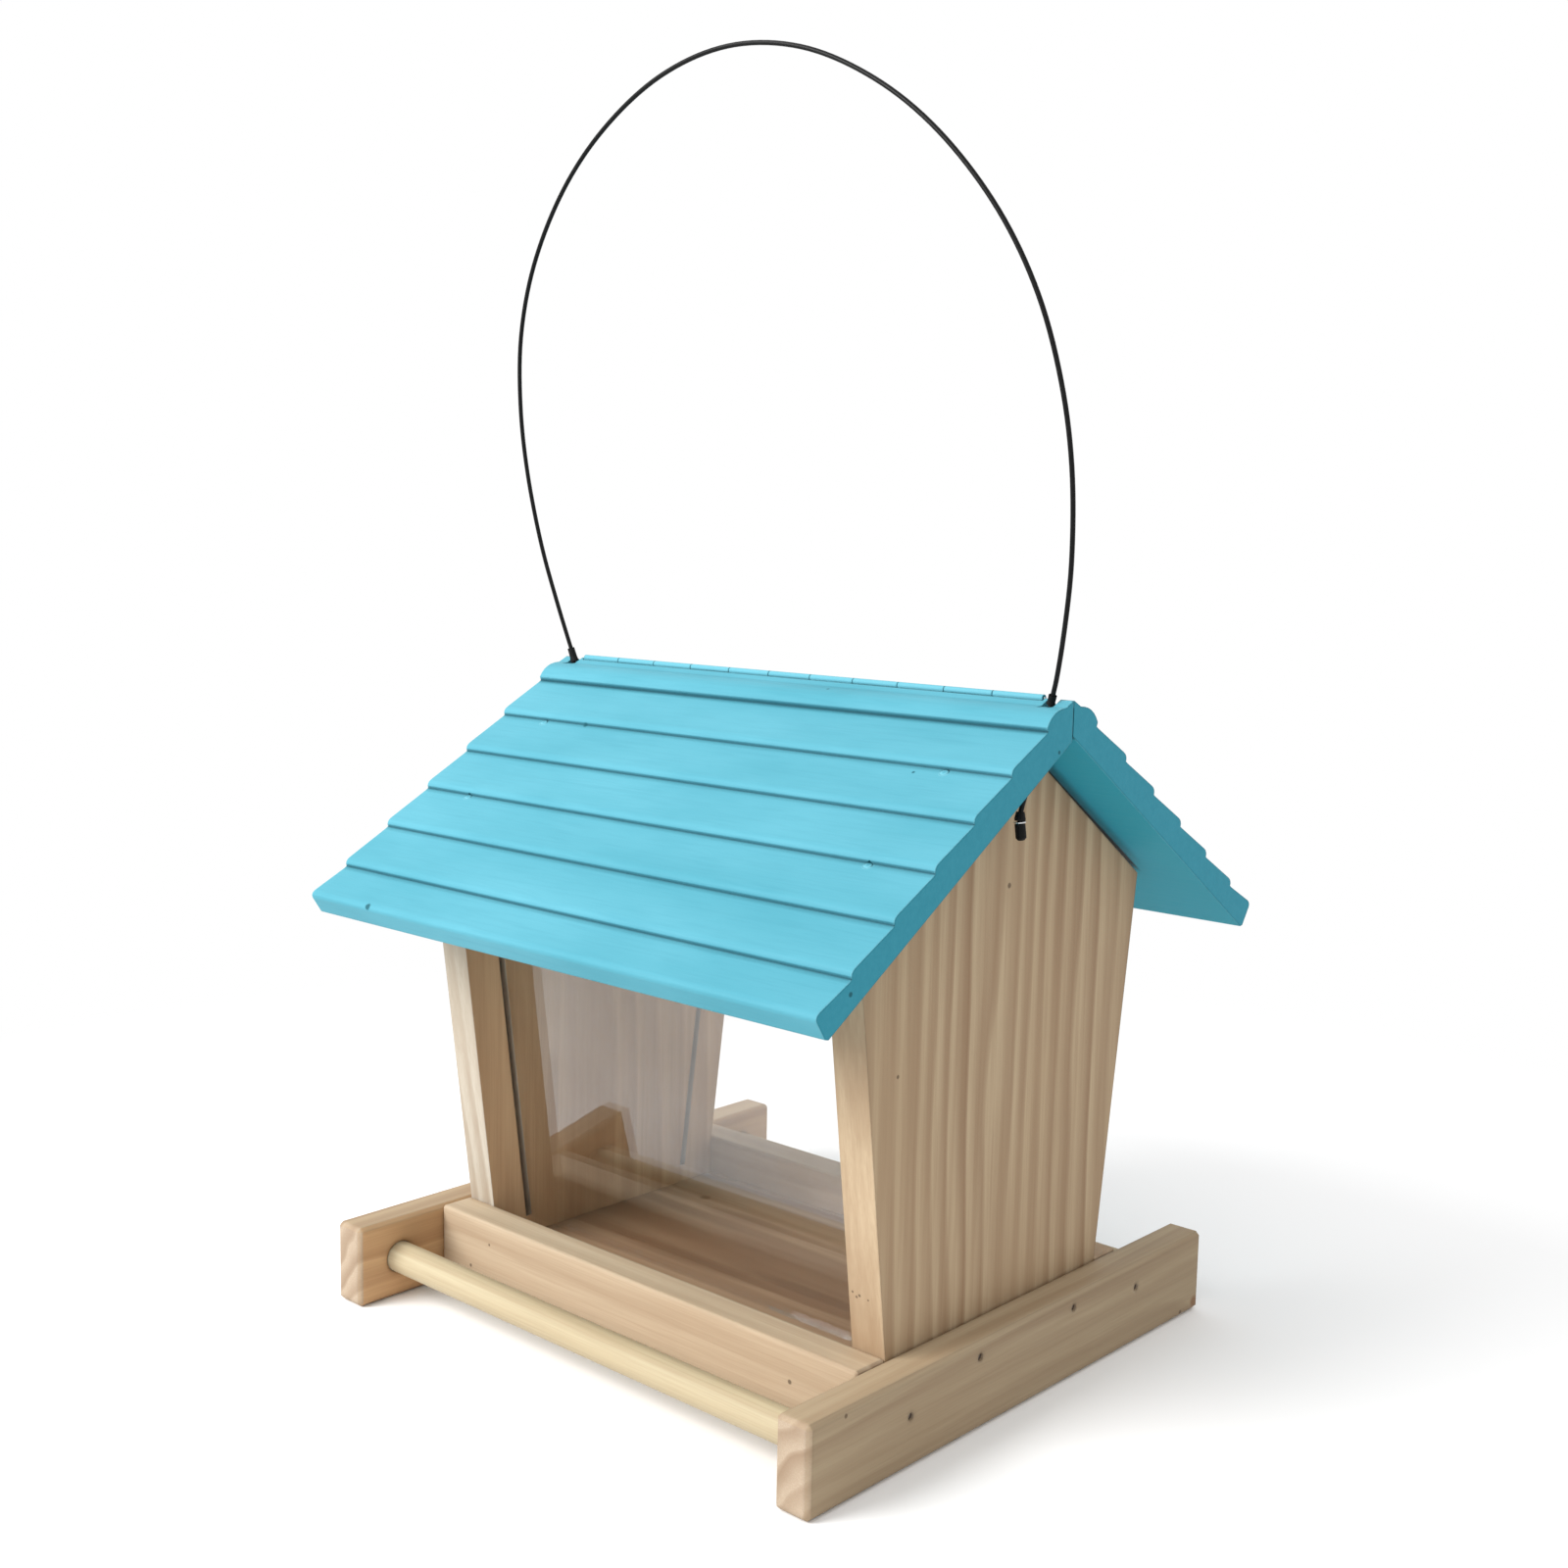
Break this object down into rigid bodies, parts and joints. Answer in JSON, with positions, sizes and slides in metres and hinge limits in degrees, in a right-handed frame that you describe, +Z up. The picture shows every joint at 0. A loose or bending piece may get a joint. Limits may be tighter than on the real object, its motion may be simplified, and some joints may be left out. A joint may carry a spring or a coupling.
{
  "type": "hanging bird feeder",
  "caption": "Wooden hopper bird feeder with a stepped roof, a hinged rear lid, slanted clear windows, seed trays, dowel perches and a wire hanging loop.",
  "frame": {"origin": "middle of the hopper floor's underside, level with the undersides of the two side rails that the feeder stands on", "axes": "+X along the ridge, +Y from the fixed front roof slab towards the hinged rear lid, +Z up"},
  "size_m": [0.2834, 0.2678, 0.4925],
  "materials": {
    "pine": "bare sanded softwood with visible grain",
    "turquoise_paint": "satin paint on wood",
    "painted_hinge": "satin paint on steel",
    "steel": "bright zinc",
    "clear_window": "clear and glossy",
    "black_coating": "smooth black plastic"
  },
  "bodies": {
    "feeder_body": {"floor_board": "pine", "front_hinge_leaf": "painted_hinge", "front_hinge_screw_1": "steel", "front_hinge_screw_2": "steel", "front_hinge_screw_3": "steel", "front_perch": "pine", "front_roof_panel": "turquoise_paint", "front_tray_rail": "pine", "hinge_pin": "steel", "left_end_panel": "pine", "left_rail_nail_1": "steel", "left_rail_nail_2": "steel", "left_rail_nail_3": "steel", "left_rail_nail_4": "steel", "left_roof_nail_1": "steel", "left_roof_nail_2": "steel", "left_side_rail": "pine", "rear_perch": "pine", "rear_tray_rail": "pine", "right_end_panel": "pine", "right_rail_nail_1": "steel", "right_rail_nail_2": "steel", "right_rail_nail_3": "steel", "right_rail_nail_4": "steel", "right_roof_nail_1": "steel", "right_roof_nail_2": "steel", "right_side_rail": "pine"},
    "roof_lid": {"lid_hinge_leaf": "painted_hinge", "lid_hinge_screw_1": "steel", "lid_hinge_screw_2": "steel", "lid_hinge_screw_3": "steel", "rear_roof_lid": "turquoise_paint"},
    "front_window": {"front_window": "clear_window"},
    "rear_window": {"rear_window": "clear_window"},
    "hanging_loop": {"hanging_cable": "black_coating", "left_cable_boot": "black_coating", "left_stop_bush": "black_coating", "left_stop_sleeve": "black_coating", "left_stop_washer": "steel", "right_cable_boot": "black_coating", "right_stop_bush": "black_coating", "right_stop_sleeve": "black_coating", "right_stop_washer": "steel"}
  },
  "joints": [
    {"name": "lid_hinge", "type": "hinge", "parent": "feeder_body", "child": "roof_lid", "pos_m": [0, 0.005, 0.2594], "axis": [1, 0, 0], "range_deg": [0, 80]},
    {"name": "front_window_slide", "type": "slide", "parent": "feeder_body", "child": "front_window", "axis": [0, -0.1287, 0.9917], "range_m": [0, 0.004]},
    {"name": "rear_window_slide", "type": "slide", "parent": "feeder_body", "child": "rear_window", "axis": [0, 0.1287, 0.9917], "range_m": [0, 0.004]},
    {"name": "cable_slide", "type": "slide", "parent": "feeder_body", "child": "hanging_loop", "axis": [0, 0.4104, 0.9119], "range_m": [0, 0.0162]}
  ]
}
